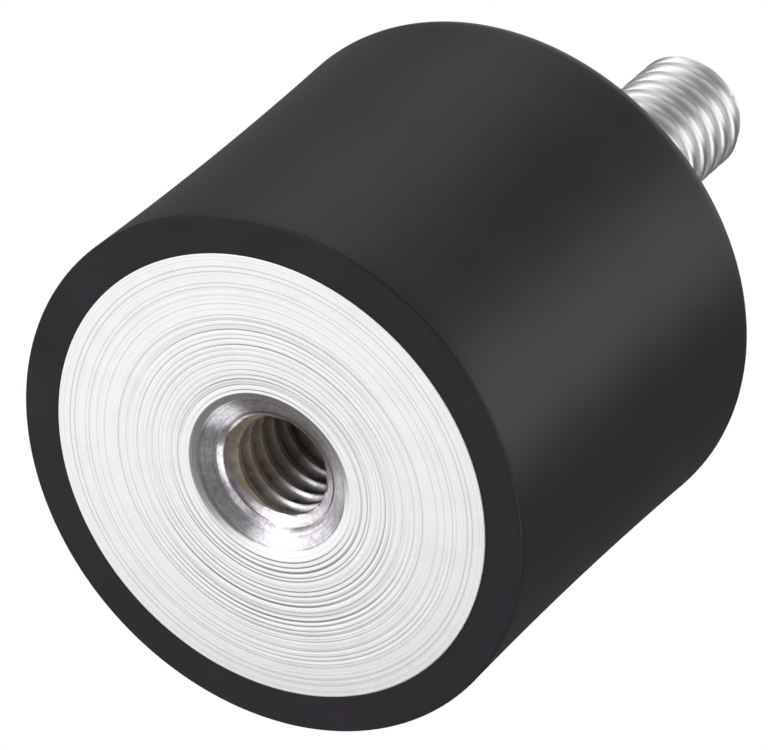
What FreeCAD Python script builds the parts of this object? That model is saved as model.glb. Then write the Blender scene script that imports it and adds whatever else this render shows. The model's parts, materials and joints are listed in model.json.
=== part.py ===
import FreeCAD, Part
import math
import os

# Bobbin vibration mount: a waisted rubber cylinder moulded onto two metal ends,
# one with a tapped hole and one with a threaded stud.
# Millimetres. The axis is Z, the tapped end stands on Z = 0 and the stud points up.

# Rubber body
body_diameter = 34.93  # 1 3/8 in
mount_height = 30.0  # from metal face to metal face
face_step = 0.1  # each metal face stands this far out of the rubber round it
rubber_rim = 2.5  # rubber outside each metal plate, measured along a radius
waist_depth = 0.25  # the side curves in by this much at mid height
tapped_edge_chamfer = 0.2
stud_edge_radius = 1.5

# Both metal plates
plate_thickness = 2.5
plate_chamfer = 0.1

# Thread, 5/16-18 UNC at both ends
thread_diameter = 7.94
thread_pitch = 1.411

# Tapped insert, a disc and a boss turned from one bar
tapped_depth = 9.5
tap_runout = 1.0  # drilled length below the last full turn of the thread
drill_point_angle = 118.0
boss_wall = 3.0  # metal round the thread
boss_floor = 1.5  # metal under the drill point
boss_root_chamfer = 0.7
boss_end_chamfer = 0.8
countersink_margin = 1.5  # the countersink reaches this far outside the thread
countersink_angle = 120.0
mouth_edge_radius = 0.7

# Stud, pressed through its plate from the inside
stud_length = 24.5
stud_end_chamfer = 1.0
collar_step = 0.5  # the pressed collar is this much thicker than the thread, on the radius
head_overhang = 2.0  # the head reaches this far outside the collar
head_thickness = 2.0
head_edge_chamfer = 0.4

# Worked out from the sizes above
body_radius = body_diameter / 2
plate_radius = body_radius - rubber_rim
thread_radius = thread_diameter / 2
thread_height = thread_pitch * math.sqrt(3) / 2
bore_radius = thread_radius - thread_height * 5 / 8
drill_depth = tapped_depth + tap_runout
drill_point_length = bore_radius / math.tan(math.radians(drill_point_angle / 2))
boss_radius = thread_radius + boss_wall
boss_height = drill_depth + drill_point_length + boss_floor
countersink_radius = thread_radius + countersink_margin
countersink_depth = (countersink_radius - bore_radius) / math.tan(math.radians(countersink_angle / 2))
collar_radius = thread_radius + collar_step
head_radius = collar_radius + head_overhang
waist_height = mount_height / 2
waist_half_span = waist_height - face_step
waist_arc_radius = (waist_half_span ** 2 + waist_depth ** 2) / (2 * waist_depth)
waist_centre_radius = body_radius - waist_depth + waist_arc_radius


def point(radius, height):
    return FreeCAD.Vector(radius, 0, height)


def line(start, end):
    return Part.LineSegment(start, end).toShape()


def turned(edges):
    """A solid of revolution about Z from the edges of a closed outline in the XZ plane."""
    outline = Part.Wire(edges)
    return Part.Face(outline).revolve(FreeCAD.Vector(0, 0, 0), FreeCAD.Vector(0, 0, 1), 360)


def turned_from_corners(corners):
    points = [point(radius, height) for radius, height in corners]
    closing = points[1:] + points[:1]
    return turned([line(start, end) for start, end in zip(points, closing)])


def rings(solid, radius, height):
    """The circular edges of a solid that have this radius and lie at this height."""
    found = []
    for edge in solid.Edges:
        curve = edge.Curve
        if not isinstance(curve, Part.Circle):
            continue
        if abs(curve.Radius - radius) < 1e-6 and abs(curve.Center.z - height) < 1e-6:
            found.append(edge)
    return found


def insert_blank():
    """The turned insert before its hole is drilled: a disc with a boss behind it."""
    blank = turned_from_corners([
        (0, 0),
        (plate_radius, 0),
        (plate_radius, plate_thickness),
        (boss_radius, plate_thickness),
        (boss_radius, boss_height),
        (0, boss_height),
    ])
    disc_edges = rings(blank, plate_radius, 0) + rings(blank, plate_radius, plate_thickness)
    blank = blank.makeChamfer(plate_chamfer, disc_edges)
    blank = blank.makeChamfer(boss_end_chamfer, rings(blank, boss_radius, boss_height))
    return blank.makeChamfer(boss_root_chamfer, rings(blank, boss_radius, plate_thickness))


def tapped_insert():
    hole = turned_from_corners([
        (0, 0),
        (countersink_radius, 0),
        (bore_radius, countersink_depth),
        (bore_radius, drill_depth),
        (0, drill_depth + drill_point_length),
    ])
    insert = insert_blank().cut(hole)
    return insert.makeFillet(mouth_edge_radius, rings(insert, countersink_radius, 0))


def stud_plate_blank():
    blank = turned_from_corners([
        (0, mount_height - plate_thickness),
        (plate_radius, mount_height - plate_thickness),
        (plate_radius, mount_height),
        (0, mount_height),
    ])
    inner_edge = rings(blank, plate_radius, mount_height - plate_thickness)
    outer_edge = rings(blank, plate_radius, mount_height)
    return blank.makeChamfer(plate_chamfer, inner_edge + outer_edge)


def threaded_stud():
    seat = mount_height - plate_thickness
    stud_end = mount_height + stud_length
    stud = turned_from_corners([
        (0, seat - head_thickness),
        (head_radius, seat - head_thickness),
        (head_radius, seat),
        (collar_radius, seat),
        (collar_radius, mount_height),
        (thread_radius, mount_height),
        (thread_radius, stud_end),
        (0, stud_end),
    ])
    stud = stud.makeChamfer(stud_end_chamfer, rings(stud, thread_radius, stud_end))
    return stud.makeChamfer(head_edge_chamfer, rings(stud, head_radius, seat - head_thickness))


def waist_radius(height):
    """Radius of the rubber's side at a height."""
    return waist_centre_radius - math.sqrt(waist_arc_radius ** 2 - (height - waist_height) ** 2)


def rounded_edge(top):
    """Three points of the arc that rounds the side into the top face: its start, its middle and its end."""
    centre_height = top - stud_edge_radius
    rise = centre_height - waist_height
    centre_radius = waist_centre_radius - math.sqrt((waist_arc_radius + stud_edge_radius) ** 2 - rise ** 2)
    centre = point(centre_radius, centre_height)
    to_waist_centre = (point(waist_centre_radius, waist_height) - centre).normalize()
    to_corner = (to_waist_centre + FreeCAD.Vector(0, 0, 1)).normalize()
    on_side = centre + to_waist_centre * stud_edge_radius
    on_corner = centre + to_corner * stud_edge_radius
    return on_side, on_corner, point(centre_radius, top)


def rubber_block():
    """The rubber before the pockets: its side is one shallow arc between a chamfer and a rounded edge."""
    bottom = face_step
    top = mount_height - face_step
    chamfer_top = bottom + tapped_edge_chamfer
    low_face = point(waist_radius(bottom) - tapped_edge_chamfer, bottom)
    low_side = point(waist_radius(chamfer_top), chamfer_top)
    high_side, high_corner, high_face = rounded_edge(top)
    return turned([
        line(point(0, bottom), low_face),
        line(low_face, low_side),
        Part.Arc(low_side, point(body_radius - waist_depth, waist_height), high_side).toShape(),
        Part.Arc(high_side, high_corner, high_face).toShape(),
        line(high_face, point(0, top)),
        line(point(0, top), point(0, bottom)),
    ])


stud = threaded_stud()
plate_solid = stud_plate_blank()

pieces = {
    "rubber_body": rubber_block().cut([insert_blank(), plate_solid, stud]),
    "tapped_insert": tapped_insert(),
    "stud_plate": plate_solid.cut(stud),
    "threaded_stud": stud,
}

os.makedirs("parts", exist_ok=True)
for name, piece in pieces.items():
    piece.exportStep("parts/" + name + ".step")
    print(name, "solids", len(piece.Solids), "volume", round(piece.Volume, 2), "valid", piece.isValid())
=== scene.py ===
import json
import math
import random

import bmesh
import bpy
from mathutils import Matrix, Vector


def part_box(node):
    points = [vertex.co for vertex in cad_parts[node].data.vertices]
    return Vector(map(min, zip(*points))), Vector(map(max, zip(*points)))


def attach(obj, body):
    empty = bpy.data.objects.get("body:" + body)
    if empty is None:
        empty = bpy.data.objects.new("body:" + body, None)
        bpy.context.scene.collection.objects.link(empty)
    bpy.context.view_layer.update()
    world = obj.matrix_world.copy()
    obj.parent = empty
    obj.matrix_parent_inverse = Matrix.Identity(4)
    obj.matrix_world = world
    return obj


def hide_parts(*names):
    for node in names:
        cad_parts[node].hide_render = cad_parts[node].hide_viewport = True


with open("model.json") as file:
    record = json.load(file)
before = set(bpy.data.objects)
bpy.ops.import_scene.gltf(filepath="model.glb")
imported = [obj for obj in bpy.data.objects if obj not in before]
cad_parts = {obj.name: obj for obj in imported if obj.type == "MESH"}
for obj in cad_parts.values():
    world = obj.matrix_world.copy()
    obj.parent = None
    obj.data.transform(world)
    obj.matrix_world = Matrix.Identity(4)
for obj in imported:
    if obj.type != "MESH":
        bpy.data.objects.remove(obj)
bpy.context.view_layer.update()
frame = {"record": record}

# Bobbin vibration mount: rubber cylinder, tapped metal disc below, threaded stud above.
# Everything is in metres and turned about Z. The metal face of the tapped end lies on Z = 0.

mm = 0.001
fullTurn = 2 * math.pi
mounts = {mount["name"]: mount for mount in frame["record"]["mounts"]}


def reachOf(node):
    # smallest reach of a node sideways, so that a round piece stays inside its box
    low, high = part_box(node)
    return min(-low.x, -low.y, high.x, high.y)


bodyRadius = reachOf("rubber_body")
plateRadius = reachOf("stud_plate")
headRadius = reachOf("threaded_stud")
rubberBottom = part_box("rubber_body")[0].z
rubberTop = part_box("rubber_body")[1].z
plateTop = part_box("stud_plate")[1].z
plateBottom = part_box("stud_plate")[0].z
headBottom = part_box("threaded_stud")[0].z
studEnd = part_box("threaded_stud")[1].z
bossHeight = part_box("tapped_insert")[1].z
threadRadius = mounts["stud"]["dims"]["r_mm"] * mm
boreRadius = mounts["tapped_hole"]["dims"]["r_mm"] * mm
threadPitch = 1.411 * mm  # 18 threads per inch
weldGap = 1e-7  # points closer than this become one
levelGap = 1e-6  # heights closer than this count as one level
sharpAngle = math.radians(32)
print("frame read, body radius", round(bodyRadius / mm, 3), "mm")


# Shared modelling

def arc(centre, radius, fromDegrees, toDegrees, segments):
    # outline points on an arc in the plane of radius and height
    points = []
    for step in range(segments + 1):
        angle = math.radians(fromDegrees + (toDegrees - fromDegrees) * step / segments)
        points.append((centre[0] + radius * math.cos(angle), centre[1] + radius * math.sin(angle)))
    return points


def spinOutline(bm, outline, steps):
    # turns an outline of (radius, height) points into a skin about Z
    verts = [bm.verts.new((radius, 0, height)) for radius, height in outline]
    edges = [bm.edges.new(pair) for pair in zip(verts, verts[1:])]
    bmesh.ops.spin(bm, geom=verts + edges, cent=(0, 0, 0), axis=(0, 0, 1), angle=fullTurn,
                   steps=steps, use_merge=True)


def finishPiece(bm, name, material, node):
    bmesh.ops.remove_doubles(bm, verts=bm.verts, dist=weldGap)
    bmesh.ops.dissolve_degenerate(bm, edges=bm.edges, dist=0.1 * weldGap)
    bmesh.ops.recalc_face_normals(bm, faces=bm.faces)
    mesh = bpy.data.meshes.new(name)
    bm.to_mesh(mesh)
    bm.free()
    mesh.shade_smooth()
    mesh.set_sharp_from_angle(angle=sharpAngle)
    piece = bpy.data.objects.new(name, mesh)
    bpy.context.scene.collection.objects.link(piece)
    mesh.materials.append(material)
    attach(piece, "root")
    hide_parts(node)
    print(name, len(mesh.polygons), "faces")


# Shared material nodes

def newMaterial(name):
    material = bpy.data.materials.new(name)
    material.use_nodes = True
    nodes = material.node_tree.nodes
    return material, nodes, material.node_tree.links, nodes["Principled BSDF"]


def addNode(nodes, kind, **settings):
    node = nodes.new(kind)
    for key, value in settings.items():
        setattr(node, key, value)
    return node


def mathNode(nodes, links, operation, first, second=None):
    node = addNode(nodes, "ShaderNodeMath", operation=operation)
    for socket, value in zip(node.inputs, (first, second)):
        if value is None:
            continue
        if isinstance(value, (int, float)):
            socket.default_value = value
        else:
            links.new(value, socket)
    return node.outputs[0]


def noiseNode(nodes, links, vector, scale, detail=2.0, roughness=0.5):
    node = addNode(nodes, "ShaderNodeTexNoise")
    node.inputs["Scale"].default_value = scale
    node.inputs["Detail"].default_value = detail
    node.inputs["Roughness"].default_value = roughness
    links.new(vector, node.inputs["Vector"])
    return node.outputs["Fac"]


def rampNode(nodes, links, factor, stops):
    node = addNode(nodes, "ShaderNodeValToRGB")
    elements = node.color_ramp.elements
    while len(elements) < len(stops):
        elements.new(0.5)
    for element, (position, color) in zip(elements, stops):
        element.position = position
        element.color = (*color, 1)
    links.new(factor, node.inputs["Fac"])
    return node.outputs["Color"]


def mixColors(nodes, links, first, second, factor=None, blend="MIX"):
    mix = addNode(nodes, "ShaderNodeMix", data_type="RGBA", blend_type=blend)
    mix.inputs[0].default_value = 1
    if factor is not None:
        links.new(factor, mix.inputs[0])
    links.new(first, mix.inputs[6])  # the color sockets come after those for numbers and vectors
    links.new(second, mix.inputs[7])
    return mix.outputs[2]


def bumpNode(nodes, links, height, strength, distance, normal=None):
    node = addNode(nodes, "ShaderNodeBump")
    node.inputs["Strength"].default_value = strength
    node.inputs["Distance"].default_value = distance
    links.new(height, node.inputs["Height"])
    if normal is not None:
        links.new(normal, node.inputs["Normal"])
    return node.outputs["Normal"]


def partCoordinates(nodes, links):
    # Object coordinates, and from them the distance from the axis and the height
    coords = addNode(nodes, "ShaderNodeTexCoord")
    split = addNode(nodes, "ShaderNodeSeparateXYZ")
    links.new(coords.outputs["Object"], split.inputs[0])
    squareX = mathNode(nodes, links, "MULTIPLY", split.outputs["X"], split.outputs["X"])
    squareY = mathNode(nodes, links, "MULTIPLY", split.outputs["Y"], split.outputs["Y"])
    radius = mathNode(nodes, links, "SQRT", mathNode(nodes, links, "ADD", squareX, squareY))
    return coords.outputs["Object"], radius, split.outputs["Z"]


# Metal ends, whose hidden backs the rubber is moulded round

ends = {
    "plateChamfer": 0.1 * mm,
    "plateThickness": 2.5 * mm,
    "bossWall": 3.0 * mm,
    "bossRootChamfer": 0.7 * mm,
    "bossEndChamfer": 0.8 * mm,
    "collarStep": 0.5 * mm,
    "headEdgeChamfer": 0.4 * mm,
}
bossRadius = threadRadius + ends["bossWall"]
collarRadius = threadRadius + ends["collarStep"]


def insertBackOutline():
    # the hidden back of the insert, from the axis out to the rim of its face
    root = ends["bossRootChamfer"]
    chamfer = ends["bossEndChamfer"]
    plateBack = ends["plateThickness"]
    rim = ends["plateChamfer"]
    outline = [(0, bossHeight), (bossRadius - chamfer, bossHeight), (bossRadius, bossHeight - chamfer)]
    outline += [(bossRadius, plateBack + root), (bossRadius + root, plateBack)]
    outline += [(plateRadius - rim, plateBack), (plateRadius, plateBack - rim)]
    return outline


# Rubber body

rubber = {
    "waistDepth": 0.25 * mm,
    "tappedEdgeRadius": 0.25 * mm,
    "studEdgeRadius": 1.5 * mm,
    "sideSegments": 28,
    "edgeSegments": 10,
    "turnSteps": 192,
    "color": (0.0148, 0.0108, 0.0162),
    "colorSpread": 0.15,
    "cloudScale": 160,
    "roughness": 0.42,
    "specular": 0.45,
    "faceBand": 0.05 * mm,  # the moulded face is duller than the side
    "faceRoughness": 0.65,
    "faceSpecular": 0.32,
    "grainScale": 5200,
    "grainDepth": 0.02 * mm,
    "grainStrength": 0.12,
    "waveScale": 260,
    "waveDepth": 0.03 * mm,
    "waveStrength": 0.25,
}


def rubberSide():
    # from the face at the tapped end to the face at the stud end
    low, high = rubberBottom, rubberTop
    middle = (low + high) / 2
    halfSpan = (high - low) / 2
    depth = rubber["waistDepth"]
    waistRadius = (halfSpan ** 2 + depth ** 2) / (2 * depth)
    waistCentre = bodyRadius - depth + waistRadius
    segments = rubber["edgeSegments"]

    def roundedEnd(height, edgeRadius, inward):
        rise = height + inward * edgeRadius - middle
        centre = waistCentre - math.sqrt((waistRadius + edgeRadius) ** 2 - rise ** 2)
        lean = math.degrees(math.asin(-rise / (waistRadius + edgeRadius)))
        return arc((centre, height + inward * edgeRadius), edgeRadius, -90 * inward, lean, segments)

    start = roundedEnd(low, rubber["tappedEdgeRadius"], 1)
    end = roundedEnd(high, rubber["studEdgeRadius"], -1)
    side = []
    for step in range(1, rubber["sideSegments"]):
        height = start[-1][1] + (end[-1][1] - start[-1][1]) * step / rubber["sideSegments"]
        side.append((waistCentre - math.sqrt(waistRadius ** 2 - (height - middle) ** 2), height))
    return start + side + end[::-1]


def rubberMaterial():
    material, nodes, links, shader = newMaterial("mouldedRubber")
    position, _, height = partCoordinates(nodes, links)
    onFace = mathNode(nodes, links, "LESS_THAN", height, rubberBottom + rubber["faceBand"])
    matte = mathNode(nodes, links, "MULTIPLY", onFace, rubber["faceRoughness"] - rubber["roughness"])
    links.new(mathNode(nodes, links, "ADD", matte, rubber["roughness"]), shader.inputs["Roughness"])
    dull = mathNode(nodes, links, "MULTIPLY", onFace, rubber["faceSpecular"] - rubber["specular"])
    links.new(mathNode(nodes, links, "ADD", dull, rubber["specular"]), shader.inputs["Specular IOR Level"])
    cloud = noiseNode(nodes, links, position, rubber["cloudScale"], 3)
    spread = rubber["colorSpread"]
    color = rampNode(nodes, links, cloud, [
        (0.3, [value * (1 - spread) for value in rubber["color"]]),
        (0.7, [value * (1 + spread) for value in rubber["color"]]),
    ])
    links.new(color, shader.inputs["Base Color"])
    grain = noiseNode(nodes, links, position, rubber["grainScale"], 3, 0.6)
    waves = noiseNode(nodes, links, position, rubber["waveScale"], 2)
    fine = bumpNode(nodes, links, grain, rubber["grainStrength"], rubber["grainDepth"])
    normal = bumpNode(nodes, links, waves, rubber["waveStrength"], rubber["waveDepth"], fine)
    links.new(normal, shader.inputs["Normal"])
    return material


def buildRubber():
    rim = ends["plateChamfer"]
    headEdge = ends["headEdgeChamfer"]
    outline = insertBackOutline() + [(plateRadius, rubberBottom)]
    outline += rubberSide()
    outline += [(plateRadius, rubberTop), (plateRadius, plateBottom + rim)]
    outline += [(plateRadius - rim, plateBottom), (headRadius, plateBottom)]
    outline += [(headRadius, headBottom + headEdge)]
    outline += [(headRadius - headEdge, headBottom), (0, headBottom)]
    bm = bmesh.new()
    spinOutline(bm, outline, rubber["turnSteps"])
    finishPiece(bm, "rubberBody", rubberMaterial(), "rubber_body")


buildRubber()


# Threads

flankSoftness = 0.2  # 0 gives straight flanks with sharp corners, 1 a rounded wave


def threadDepth(phase, shares):
    # 0 on the crest and 1 at the root, phase 0 to 1 along one pitch from root to root
    fromCrest = abs(2 * phase - 1)
    straight = (fromCrest - shares["crest"]) / (1 - shares["crest"] - shares["root"])
    straight = min(max(straight, 0), 1)
    rounded = straight * straight * (3 - 2 * straight)
    return (1 - flankSoftness) * straight + flankSoftness * rounded


def helixSkin(bm, crestRadius, rootRadius, helix, startHeight, turns):
    # one turn is spun with a rise of one pitch, then copied along the axis and welded
    verts = []
    for index in range(helix["samples"] + 1):
        phase = index / helix["samples"]
        radius = crestRadius + (rootRadius - crestRadius) * threadDepth(phase, helix["shares"])
        verts.append(bm.verts.new((radius, 0, startHeight + threadPitch * phase)))
    edges = [bm.edges.new(pair) for pair in zip(verts, verts[1:])]
    bmesh.ops.spin(bm, geom=verts + edges, cent=(0, 0, 0), axis=(0, 0, 1), angle=fullTurn,
                   dvec=(0, 0, threadPitch / helix["steps"]), steps=helix["steps"])
    firstTurn = bm.verts[:] + bm.edges[:] + bm.faces[:]
    for turn in range(1, turns):
        copy = bmesh.ops.duplicate(bm, geom=firstTurn)
        copied = [item for item in copy["geom"] if isinstance(item, bmesh.types.BMVert)]
        bmesh.ops.translate(bm, verts=copied, vec=(0, 0, threadPitch * turn))
    bmesh.ops.remove_doubles(bm, verts=bm.verts, dist=levelGap)


def cutAt(bm, height, keepAbove):
    geometry = bm.verts[:] + bm.edges[:] + bm.faces[:]
    bmesh.ops.bisect_plane(bm, geom=geometry, dist=0.1 * weldGap, plane_co=(0, 0, height),
                           plane_no=(0, 0, 1), clear_inner=keepAbove, clear_outer=not keepAbove)


def loopNear(bm, height):
    # the open edges that lie at this height
    return [edge for edge in bm.edges
            if edge.is_boundary and all(abs(vert.co.z - height) < levelGap for vert in edge.verts)]


def setRadius(vert, radius):
    current = math.hypot(vert.co.x, vert.co.y)
    vert.co.x *= radius / current
    vert.co.y *= radius / current


# Tool marks on the turned faces

toolMarks = {
    "halfWidth": (0.045 * mm, 0.08 * mm),
    "spacing": (0.27 * mm, 0.44 * mm),
    "depth": (0.005 * mm, 0.021 * mm),
    "swell": 0.25,  # share of the depth that comes and goes twice round
    "calmRadius": 10.3 * mm,  # outside this the rings grow shallower
    "calmWidth": 1.6 * mm,
    "calmDepth": 0.4,
}


def calmness(radius):
    share = min(max((radius - toolMarks["calmRadius"]) / toolMarks["calmWidth"], 0), 1)
    return 1 + (toolMarks["calmDepth"] - 1) * share


def turningMarks(fromRadius, toRadius, seed):
    # rings left by the tool: radius, half width, depth and phase of each
    chance = random.Random(seed)
    marks = []
    radius = fromRadius
    while radius < toRadius:
        width = chance.uniform(*toolMarks["halfWidth"])
        depth = chance.uniform(*toolMarks["depth"]) * calmness(radius)
        marks.append((radius, width, depth, chance.uniform(0, fullTurn)))
        radius += chance.uniform(*toolMarks["spacing"])
    return marks


def markDepth(marks, radius, angle):
    depth = 0
    for markRadius, width, deepest, phase in marks:
        distance = abs(radius - markRadius) / width
        if distance < 2:
            swell = 1 - toolMarks["swell"] + toolMarks["swell"] * math.sin(angle * 2 + phase)
            depth = max(depth, deepest * swell * (1 + math.cos(distance * math.pi / 2)) / 2)
    return depth


def pressMarks(bm, marks, faceHeight, inward, fromRadius, toRadius):
    # presses the tool's rings into a flat face
    for vert in bm.verts:
        radius = math.hypot(vert.co.x, vert.co.y)
        if abs(vert.co.z - faceHeight) < levelGap and fromRadius < radius < toRadius:
            angle = math.atan2(vert.co.y, vert.co.x)
            vert.co.z += inward * markDepth(marks, radius, angle)


def facePoints(outer, inner, height, spacing):
    # points on a flat face from its rim inwards, close enough to hold the tool's rings
    rings = int((outer - inner) / spacing)
    return [(outer - (outer - inner) * step / rings, height) for step in range(1, rings)]


# Tapped insert

insert = {
    "threadRoot": threadRadius + 0.1 * mm,
    "helix": {"shares": {"crest": 0.3, "root": 0.1}, "steps": 128, "samples": 16},
    "helixStart": -2.5 * threadPitch,  # the turns outside the mouth are cut away
    "helixTurns": 12,
    "tappedDepth": 9.5 * mm,
    "threadFade": 0.5 * threadPitch,
    "drillDepth": 10.5 * mm,
    "drillPointDegrees": 59,  # half of the drill's point angle
    # half angle of each stage of the mouth and the radius at which it starts
    "mouthStages": (
        (60, threadRadius + 1.5 * mm),
        (45, threadRadius + 0.15 * mm),
        (60, threadRadius - 0.1 * mm),
    ),
    "mouthRingWidth": 0.46 * mm,  # narrow turned ring between the face and the cone
    "mouthRingHeight": 0.15 * mm,
    "mouthBlend": 0.04 * mm,
    "seamHeight": 1.1 * mm,  # where the mouth's skin meets the thread's
    "seamWidth": 0.05 * mm,
    "faceSteps": 192,
    "ringStep": 0.04 * mm,
    "ringSeed": 11,
    "smoothMouth": 0.15 * mm,  # no rings this near the mouth
    "smoothRim": 1.9 * mm,
    "faceEdge": 0.05 * mm,  # the rim of the turned face is barely broken
    "faceEdgeSegments": 4,
    "color": (0.9, 0.89, 0.9),
    "roughness": 0.26,
    "mottleScale": 2600,
    "mottleColors": ((0.74, 0.71, 0.78), (1, 0.99, 1)),
    "oilAndShade": {
        "reach": 0.1 * mm,  # outside the thread's root
        "allRoundHeight": 2.1 * mm,  # up to here it stays on all round
        "sideShadeFrom": 0.2 * mm,  # across the hole, where the painted shade of the -X side starts to fade and where it has faded to the lit side's share
        "sideShadeTo": 2.1 * mm,
        "litSideShare": 0.05,
        "roughness": 0.42,
        "cover": 0.8,  # share of the bare metal that the dried oil and the painted shade hide
        "scale": 1400,
        # olive stain colours, which on the -X side of the bore also stand in for painted shade
        "colors": ((0.15, 0.12, 0.085), (0.24, 0.205, 0.16)),
    },
}


def stageHeights():
    # height at which each stage of the mouth starts and at which the last one meets the bore
    heights = [0]
    stages = insert["mouthStages"]
    endRadii = [radius for _, radius in stages[1:]] + [boreRadius]
    for (degrees, radius), endRadius in zip(stages, endRadii):
        heights.append(heights[-1] + (radius - endRadius) / math.tan(math.radians(degrees)))
    return heights


def mouthRadius(height):
    # countersink, bevel and lead, the last of which cuts back the first turns
    for start, (degrees, radius) in zip(stageHeights(), insert["mouthStages"]):
        if height >= start:
            found = radius - (height - start) * math.tan(math.radians(degrees))
    return found


def mouthOutline():
    # the ring between the face and the countersink, then the stages down to the seam
    blend = insert["mouthBlend"]
    top = insert["mouthRingHeight"]
    inner = mouthRadius(top)
    outer = inner + insert["mouthRingWidth"]
    slope = top / insert["mouthRingWidth"]
    outline = [(outer + blend, 0), (outer, 0.25 * blend * slope), (outer - blend, blend * slope)]
    outline += [(inner + blend, top - blend * slope), (inner, top), (mouthRadius(top + blend), top + blend)]
    for start in stageHeights()[1:-1]:
        outline += [(mouthRadius(start - blend), start - blend), (mouthRadius(start), start)]
    shellEnd = insert["seamHeight"] - insert["seamWidth"]
    outline.append((mouthRadius(shellEnd), shellEnd))
    return outline


def speckledMouth(nodes, links, position, height, color):
    # the countersink is rougher cut than the face and mottled darker
    countersinkStart = insert["mouthRingHeight"] + 0.5 * insert["mouthBlend"]
    inMouth = mathNode(nodes, links, "GREATER_THAN", height, countersinkStart)
    dark, light = insert["mottleColors"]
    noise = noiseNode(nodes, links, position, insert["mottleScale"], 3, 0.7)
    mottle = rampNode(nodes, links, noise, [(0.36, dark), (0.58, light)])
    return mixColors(nodes, links, color, mottle, inMouth, "MULTIPLY")


def oilAndShadeShare(nodes, links, position, radius, height):
    # where cutting oil stays on the threads, full on the -X side of the bore as painted shade and faint on
    # the lit +X side
    oilAndShade = insert["oilAndShade"]
    inBore = mathNode(nodes, links, "GREATER_THAN", height, stageHeights()[-1])
    nearAxis = mathNode(nodes, links, "LESS_THAN", radius, insert["threadRoot"] + oilAndShade["reach"])
    firstTurn = mathNode(nodes, links, "LESS_THAN", height, oilAndShade["allRoundHeight"])
    split = addNode(nodes, "ShaderNodeSeparateXYZ")
    links.new(position, split.inputs[0])
    # painted shade: the stain stays full on the -X side of the bore and fades out towards +X
    sideShade = addNode(nodes, "ShaderNodeMapRange")
    sideShade.inputs["From Min"].default_value = oilAndShade["sideShadeFrom"]
    sideShade.inputs["From Max"].default_value = oilAndShade["sideShadeTo"]
    sideShade.inputs["To Min"].default_value = 1
    sideShade.inputs["To Max"].default_value = oilAndShade["litSideShare"]
    links.new(split.outputs["X"], sideShade.inputs["Value"])
    oilAndSideShade = mathNode(nodes, links, "MAXIMUM", firstTurn, sideShade.outputs["Result"])
    share = mathNode(nodes, links, "MULTIPLY", inBore, nearAxis)
    return mathNode(nodes, links, "MULTIPLY", share, oilAndSideShade)


def oilAndShadeBore(nodes, links, position, share, color):
    # the oil dries olive brown; on the -X side of the bore the same colours are painted shade
    oilAndShade = insert["oilAndShade"]
    dark, light = oilAndShade["colors"]
    noise = noiseNode(nodes, links, position, oilAndShade["scale"], 3, 0.65)
    stainAndShade = rampNode(nodes, links, noise, [(0.34, dark), (0.62, light)])
    return mixColors(nodes, links, color, stainAndShade, share)


# Finish of all the turned metal

finish = {
    "cloudScale": 420,
    "dimmer": (0.97, 0.955, 0.96),  # the clouds' two tints, as factors on the metal's color
    "brighter": (1.03, 1.015, 1.0),
    "residueScale": 5200,
    "residueColor": (0.72, 0.72, 0.74),
    "grainScale": 9000,
    "grainDepth": 0.01 * mm,
    "grainStrength": 0.12,
    "lineScale": 9000,
    "lineDepth": 0.02 * mm,
    "lineStrength": 0.25,
}


def lineNode(nodes, links, radius, scale):
    # turned lines: noise that changes only with the distance from the axis
    lines = addNode(nodes, "ShaderNodeTexNoise", noise_dimensions="1D")
    lines.inputs["Scale"].default_value = scale
    lines.inputs["Detail"].default_value = 2
    links.new(radius, lines.inputs["W"])
    return lines.outputs["Fac"]


def turnedMaterial(name, settings, bored=False):
    material, nodes, links, shader = newMaterial(name)
    position, radius, height = partCoordinates(nodes, links)
    shader.inputs["Metallic"].default_value = 1.0
    shader.inputs["Roughness"].default_value = settings["roughness"]
    cloud = noiseNode(nodes, links, position, finish["cloudScale"], 3, 0.6)
    base = settings["color"]
    color = rampNode(nodes, links, cloud, [
        (0.3, [value * factor for value, factor in zip(base, finish["dimmer"])]),
        (0.5, base),
        (0.7, [value * factor for value, factor in zip(base, finish["brighter"])]),
    ])
    lines = lineNode(nodes, links, radius, finish["residueScale"])
    residue = rampNode(nodes, links, lines, [(0.3, finish["residueColor"]), (0.42, (1, 1, 1))])
    color = mixColors(nodes, links, color, residue, blend="MULTIPLY")
    if bored:
        oilAndShade = settings["oilAndShade"]
        # olive stain on the threads, darkened on the -X side of the bore as painted shade
        share = oilAndShadeShare(nodes, links, position, radius, height)
        color = speckledMouth(nodes, links, position, height, color)
        color = oilAndShadeBore(nodes, links, position, share, color)
        extra = mathNode(nodes, links, "MULTIPLY", share, oilAndShade["roughness"] - settings["roughness"])
        links.new(mathNode(nodes, links, "ADD", extra, settings["roughness"]), shader.inputs["Roughness"])
        cover = mathNode(nodes, links, "MULTIPLY", share, oilAndShade["cover"])
        links.new(mathNode(nodes, links, "SUBTRACT", 1, cover), shader.inputs["Metallic"])
    links.new(color, shader.inputs["Base Color"])
    grain = noiseNode(nodes, links, position, finish["grainScale"], 2)
    fine = bumpNode(nodes, links, grain, finish["grainStrength"], finish["grainDepth"])
    fineLines = lineNode(nodes, links, radius, finish["lineScale"])
    normal = bumpNode(nodes, links, fineLines, finish["lineStrength"], finish["lineDepth"], fine)
    links.new(normal, shader.inputs["Normal"])
    return material


# Shape of the insert

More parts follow.
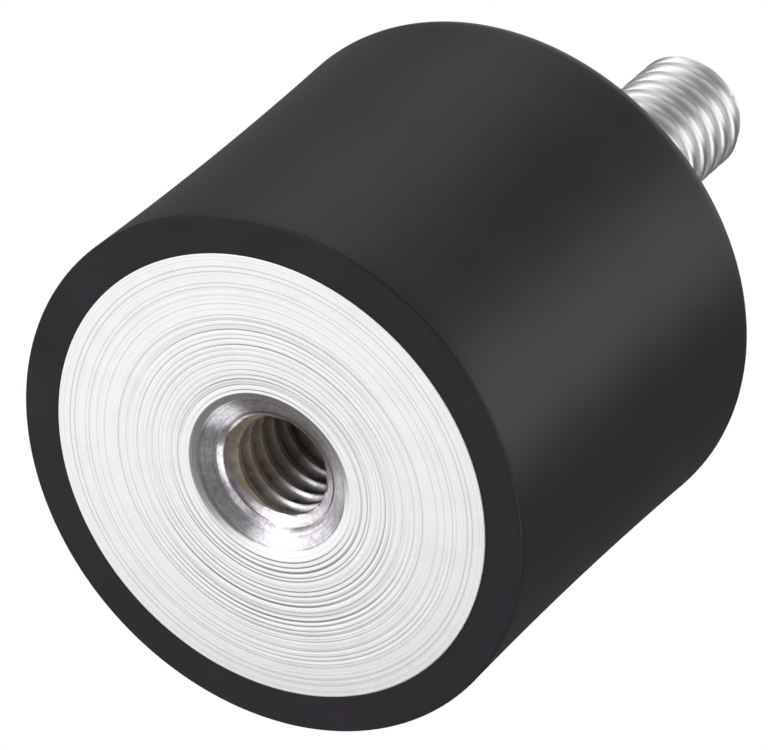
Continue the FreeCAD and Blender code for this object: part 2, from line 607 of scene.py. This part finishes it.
def insertShell():
    # everything but the tapped hole, with the tool's rings on the face
    edge = insert["faceEdge"]
    mouth = mouthOutline()
    faceInner = mouth[0][0]
    faceOuter = plateRadius - edge
    outline = insertBackOutline() + arc((faceOuter, edge), edge, 0, -90, insert["faceEdgeSegments"])
    outline += facePoints(faceOuter, faceInner, 0, insert["ringStep"]) + mouth
    shell = bmesh.new()
    spinOutline(shell, outline, insert["faceSteps"])
    bmesh.ops.remove_doubles(shell, verts=shell.verts, dist=weldGap)
    firstMark = faceInner + insert["smoothMouth"]
    marks = turningMarks(firstMark, plateRadius - insert["smoothRim"], insert["ringSeed"])
    pressMarks(shell, marks, 0, 1, faceInner, faceOuter)
    return shell


def tappedHole():
    # the thread from the seam down, running out into the drilled bore and its point
    hole = bmesh.new()
    helixSkin(hole, boreRadius, insert["threadRoot"], insert["helix"], insert["helixStart"],
              insert["helixTurns"])
    for vert in hole.verts:
        radius = math.hypot(vert.co.x, vert.co.y)
        fade = min(max((vert.co.z - insert["tappedDepth"]) / insert["threadFade"], 0), 1)
        radius = radius + (boreRadius - radius) * fade
        setRadius(vert, max(radius, mouthRadius(max(vert.co.z, 0))))
    cutAt(hole, insert["seamHeight"], True)
    cutAt(hole, insert["drillDepth"], False)
    floor = loopNear(hole, insert["drillDepth"])
    tip = bmesh.ops.extrude_edge_only(hole, edges=floor)["geom"]
    tipVerts = [item for item in tip if isinstance(item, bmesh.types.BMVert)]
    pointLength = boreRadius / math.tan(math.radians(insert["drillPointDegrees"]))
    bmesh.ops.pointmerge(hole, verts=tipVerts, merge_co=(0, 0, insert["drillDepth"] + pointLength))
    return hole


def buildInsert():
    shell = insertShell()
    hole = tappedHole()
    holeMesh = bpy.data.meshes.new("holeSkin")
    hole.to_mesh(holeMesh)
    hole.free()
    shell.from_mesh(holeMesh)
    bpy.data.meshes.remove(holeMesh)
    seamTop = insert["seamHeight"]
    seam = loopNear(shell, seamTop) + loopNear(shell, seamTop - insert["seamWidth"])
    bmesh.ops.bridge_loops(shell, edges=seam)
    material = turnedMaterial("turnedMetal", insert, bored=True)
    finishPiece(shell, "tappedInsert", material, "tapped_insert")


buildInsert()


# Stud plate

plate = {
    "ringSeed": 23,
    "ringStep": 0.06 * mm,
    "smoothCollar": 0.3 * mm,  # no rings this near the stud
    "smoothRim": 0.8 * mm,
    "collarGap": 0.01 * mm,  # the points on the collar stay where they are
    "faceSteps": 192,
    "color": (0.72, 0.72, 0.74),
    "roughness": 0.36,
}


def buildPlate():
    rim = ends["plateChamfer"]
    faceOuter = plateRadius - rim
    outline = [(collarRadius, plateBottom), (faceOuter, plateBottom), (plateRadius, plateBottom + rim)]
    outline += [(plateRadius, plateTop - rim), (faceOuter, plateTop)]
    outline += facePoints(faceOuter, collarRadius, plateTop, plate["ringStep"])
    outline += [(collarRadius, plateTop), (collarRadius, plateBottom)]
    bm = bmesh.new()
    spinOutline(bm, outline, plate["faceSteps"])
    firstMark = collarRadius + plate["smoothCollar"]
    marks = turningMarks(firstMark, plateRadius - plate["smoothRim"], plate["ringSeed"])
    pressMarks(bm, marks, plateTop, -1, collarRadius + plate["collarGap"], faceOuter)
    material = turnedMaterial("plateMetal", plate)
    finishPiece(bm, "studPlate", material, "stud_plate")


buildPlate()


# Threaded stud

stud = {
    "rootRadius": threadRadius - 0.8 * mm,
    "helix": {"shares": {"crest": 0.36, "root": 0.06}, "steps": 112, "samples": 14},
    "threadShift": 0.39 * mm,  # sets where round the stud the thread runs out
    "turnsBelow": 2,  # turns that start inside the plate
    "spareTurns": 4,
    "sunk": 0.05 * mm,  # the threaded skin ends this far below the plate's face
    "leastRadius": 0.5 * threadRadius,  # keeps the spare turns clear of the axis until they are cut
    "endChamfer": 1.0 * mm,
    "headSteps": 128,
    "color": (0.92, 0.92, 0.93),
    "roughness": 0.33,
}


def buildStud():
    bm = bmesh.new()
    start = plateTop - stud["turnsBelow"] * threadPitch - stud["threadShift"]
    turns = int((studEnd - plateTop) / threadPitch) + stud["spareTurns"]
    helixSkin(bm, threadRadius, stud["rootRadius"], stud["helix"], start, turns)
    chamferStart = studEnd - stud["endChamfer"]
    for vert in bm.verts:
        # the end is turned down at 45 degrees, crests first
        limit = threadRadius - max(vert.co.z - chamferStart, 0)
        if limit < math.hypot(vert.co.x, vert.co.y):
            setRadius(vert, max(limit, stud["leastRadius"]))
    skinBottom = plateTop - stud["sunk"]
    cutAt(bm, skinBottom, True)
    cutAt(bm, studEnd, False)
    bmesh.ops.contextual_create(bm, geom=loopNear(bm, studEnd))
    bmesh.ops.contextual_create(bm, geom=loopNear(bm, skinBottom))
    headEdge = ends["headEdgeChamfer"]
    outline = [(0, headBottom), (headRadius - headEdge, headBottom), (headRadius, headBottom + headEdge)]
    outline += [(headRadius, plateBottom), (collarRadius, plateBottom)]
    outline += [(collarRadius, plateTop), (0, plateTop)]
    spinOutline(bm, outline, stud["headSteps"])
    material = turnedMaterial("studMetal", stud)
    finishPiece(bm, "threadedStud", material, "threaded_stud")


buildStud()


# Floor, light and camera

studio = {
    "floorDrop": 0.06 * mm,
    "floorSize": 1.6,
    "floorColor": (0.86, 0.86, 0.87),
    "floorRoughness": 0.9,
    "floorSpecular": 0.1,
    "diffuseWorld": 0.6,
    "glossyWorld": 0.13,
    "middle": (0, 0, 15 * mm),  # where the lamps point
}
camera = {
    "pictureWidth": 768,
    "focalPixels": 9000,
    "sensorWidth": 36,
    "axisTilt": 41.4,  # degrees between the part's axis and the line of sight
    "axisRise": 41.106,  # degrees by which the axis climbs to the right in the picture
    "distance": 543.65 * mm,
    "nearest": 50 * mm,
    "farthest": 10000 * mm,
    "faceLeft": 6.893 * mm,  # how far the tapped face lies left of the picture's centre
    "faceDown": 6.155 * mm,
}


def buildFloor():
    bm = bmesh.new()
    bmesh.ops.create_grid(bm, x_segments=4, y_segments=4, size=studio["floorSize"] / 2)
    bmesh.ops.translate(bm, verts=bm.verts, vec=(0, 0, -studio["floorDrop"]))
    mesh = bpy.data.meshes.new("floor")
    bm.to_mesh(mesh)
    bm.free()
    floor = bpy.data.objects.new("floor", mesh)
    bpy.context.scene.collection.objects.link(floor)
    material, nodes, links, shader = newMaterial("paleFloor")
    shader.inputs["Base Color"].default_value = (*studio["floorColor"], 1)
    shader.inputs["Roughness"].default_value = studio["floorRoughness"]
    shader.inputs["Specular IOR Level"].default_value = studio["floorSpecular"]
    geometry = addNode(nodes, "ShaderNodeNewGeometry")
    clear = addNode(nodes, "ShaderNodeBsdfTransparent")
    mix = addNode(nodes, "ShaderNodeMixShader")
    links.new(geometry.outputs["Backfacing"], mix.inputs["Fac"])
    links.new(shader.outputs[0], mix.inputs[1])
    links.new(clear.outputs[0], mix.inputs[2])
    links.new(mix.outputs[0], nodes["Material Output"].inputs["Surface"])
    mesh.materials.append(material)
    floor.visible_shadow = False
    floor.visible_diffuse = False
    floor.visible_glossy = False
    floor.visible_transmission = False


def buildWorld():
    world = bpy.data.worlds.new("studio")
    bpy.context.scene.world = world
    world.use_nodes = True
    nodes, links = world.node_tree.nodes, world.node_tree.links
    background = nodes["Background"]
    path = addNode(nodes, "ShaderNodeLightPath")
    glossy = mathNode(nodes, links, "MULTIPLY", path.outputs["Is Glossy Ray"],
                      studio["glossyWorld"] - studio["diffuseWorld"])
    plain = mathNode(nodes, links, "ADD", glossy, studio["diffuseWorld"])
    seen = mathNode(nodes, links, "MAXIMUM", plain, path.outputs["Is Camera Ray"])
    links.new(seen, background.inputs["Strength"])
    background.inputs["Color"].default_value = (1, 1, 1, 1)


def softbox(name, direction, distance, size, radiance, upward=(0, 0, 1), target=studio["middle"]):
    # an area lamp that faces its target from this direction; radiance 1 is white
    lamp = bpy.data.lights.new(name, "AREA")
    lamp.shape = "RECTANGLE"
    lamp.size, lamp.size_y = size
    lamp.energy = radiance * math.pi * size[0] * size[1]
    light = bpy.data.objects.new(name, lamp)
    bpy.context.scene.collection.objects.link(light)
    away = Vector(direction).normalized()
    side = Vector(upward).cross(away).normalized()
    turn = Matrix((side, away.cross(side), away)).transposed()
    light.matrix_world = Matrix.Translation(Vector(target) + away * distance) @ turn.to_4x4()
    light.visible_camera = False


def onAzimuth(azimuth, elevation):
    # a direction from degrees round the axis, counted from -Y towards +X, and degrees above the floor
    turn = math.radians(azimuth)
    height = math.radians(elevation)
    return math.sin(turn) * math.cos(height), -math.cos(turn) * math.cos(height), math.sin(height)


def buildLights():
    softbox("leftBox", onAzimuth(-62, 42), distance=0.5, size=(0.3, 0.9), radiance=0.5)
    softbox("sideBox", onAzimuth(-80, 8), distance=0.5, size=(0.32, 0.26), radiance=0.85)
    softbox("rightBox", onAzimuth(38, 42), distance=0.5, size=(0.28, 0.9), radiance=1.0)
    softbox("middleBox", onAzimuth(-14, 42), distance=0.5, size=(0.2, 0.9), radiance=0.06)
    softbox("backLeftBox", onAzimuth(-140, 42), distance=0.5, size=(0.5, 0.6), radiance=0.12)
    softbox("topBox", (-0.2, 0.15, 0.97), distance=0.4, size=(0.3, 0.3), radiance=0.45)
    # the lamps below light the edges, the stud's flanks, the mouth of the hole and the metal face
    softbox("lowLeftBox", (-0.76, -0.28, -0.58), distance=0.5, size=(0.4, 0.4), radiance=0.9)
    softbox("lowRightBox", (0.74, -0.4, -0.54), distance=0.5, size=(0.65, 0.28), radiance=1.2)
    softbox("eyeBox", (0, -0.66, -0.75), distance=0.4, size=(0.2, 0.2), radiance=0.6)
    softbox("bowlBox", (-0.63, 0.03, -0.78), distance=0.45, size=(0.28, 0.28), radiance=0.75)
    softbox("faceBox", (-0.38, 0.535, -0.755), distance=0.25, size=(0.28, 0.32), radiance=0.96,
            upward=(-0.66, 0.56, 0.5), target=(0, 0, 0))
    softbox("coneBox", (0.62, 0.68, -0.36), distance=0.3, size=(0.1, 0.13), radiance=0.95)


def buildCamera():
    # the line of sight runs up from below, because the photograph shows the tapped end
    tilt = math.radians(camera["axisTilt"])
    rise = math.radians(camera["axisRise"])
    sight = Vector((0, math.sin(tilt), math.cos(tilt)))
    axisInPicture = (Vector((0, 0, 1)) - sight * sight.z).normalized()
    sideways = Vector((1, 0, 0))
    right = axisInPicture * math.cos(rise) + sideways * math.sin(rise)
    up = axisInPicture * math.sin(rise) - sideways * math.cos(rise)
    place = Vector((0, 0, rubberBottom)) - sight * camera["distance"]
    place += right * camera["faceLeft"] + up * camera["faceDown"]
    data = bpy.data.cameras.new("camera")
    data.sensor_width = camera["sensorWidth"]
    data.lens = data.sensor_width * camera["focalPixels"] / camera["pictureWidth"]
    data.clip_start = camera["nearest"]
    data.clip_end = camera["farthest"]
    eye = bpy.data.objects.new("camera", data)
    bpy.context.scene.collection.objects.link(eye)
    turn = Matrix((right, up, -sight)).transposed()
    eye.matrix_world = Matrix.Translation(place) @ turn.to_4x4()
    bpy.context.scene.camera = eye


buildFloor()
buildWorld()
buildLights()
buildCamera()
bpy.context.scene.view_settings.view_transform = "Standard"
print("studio ready")
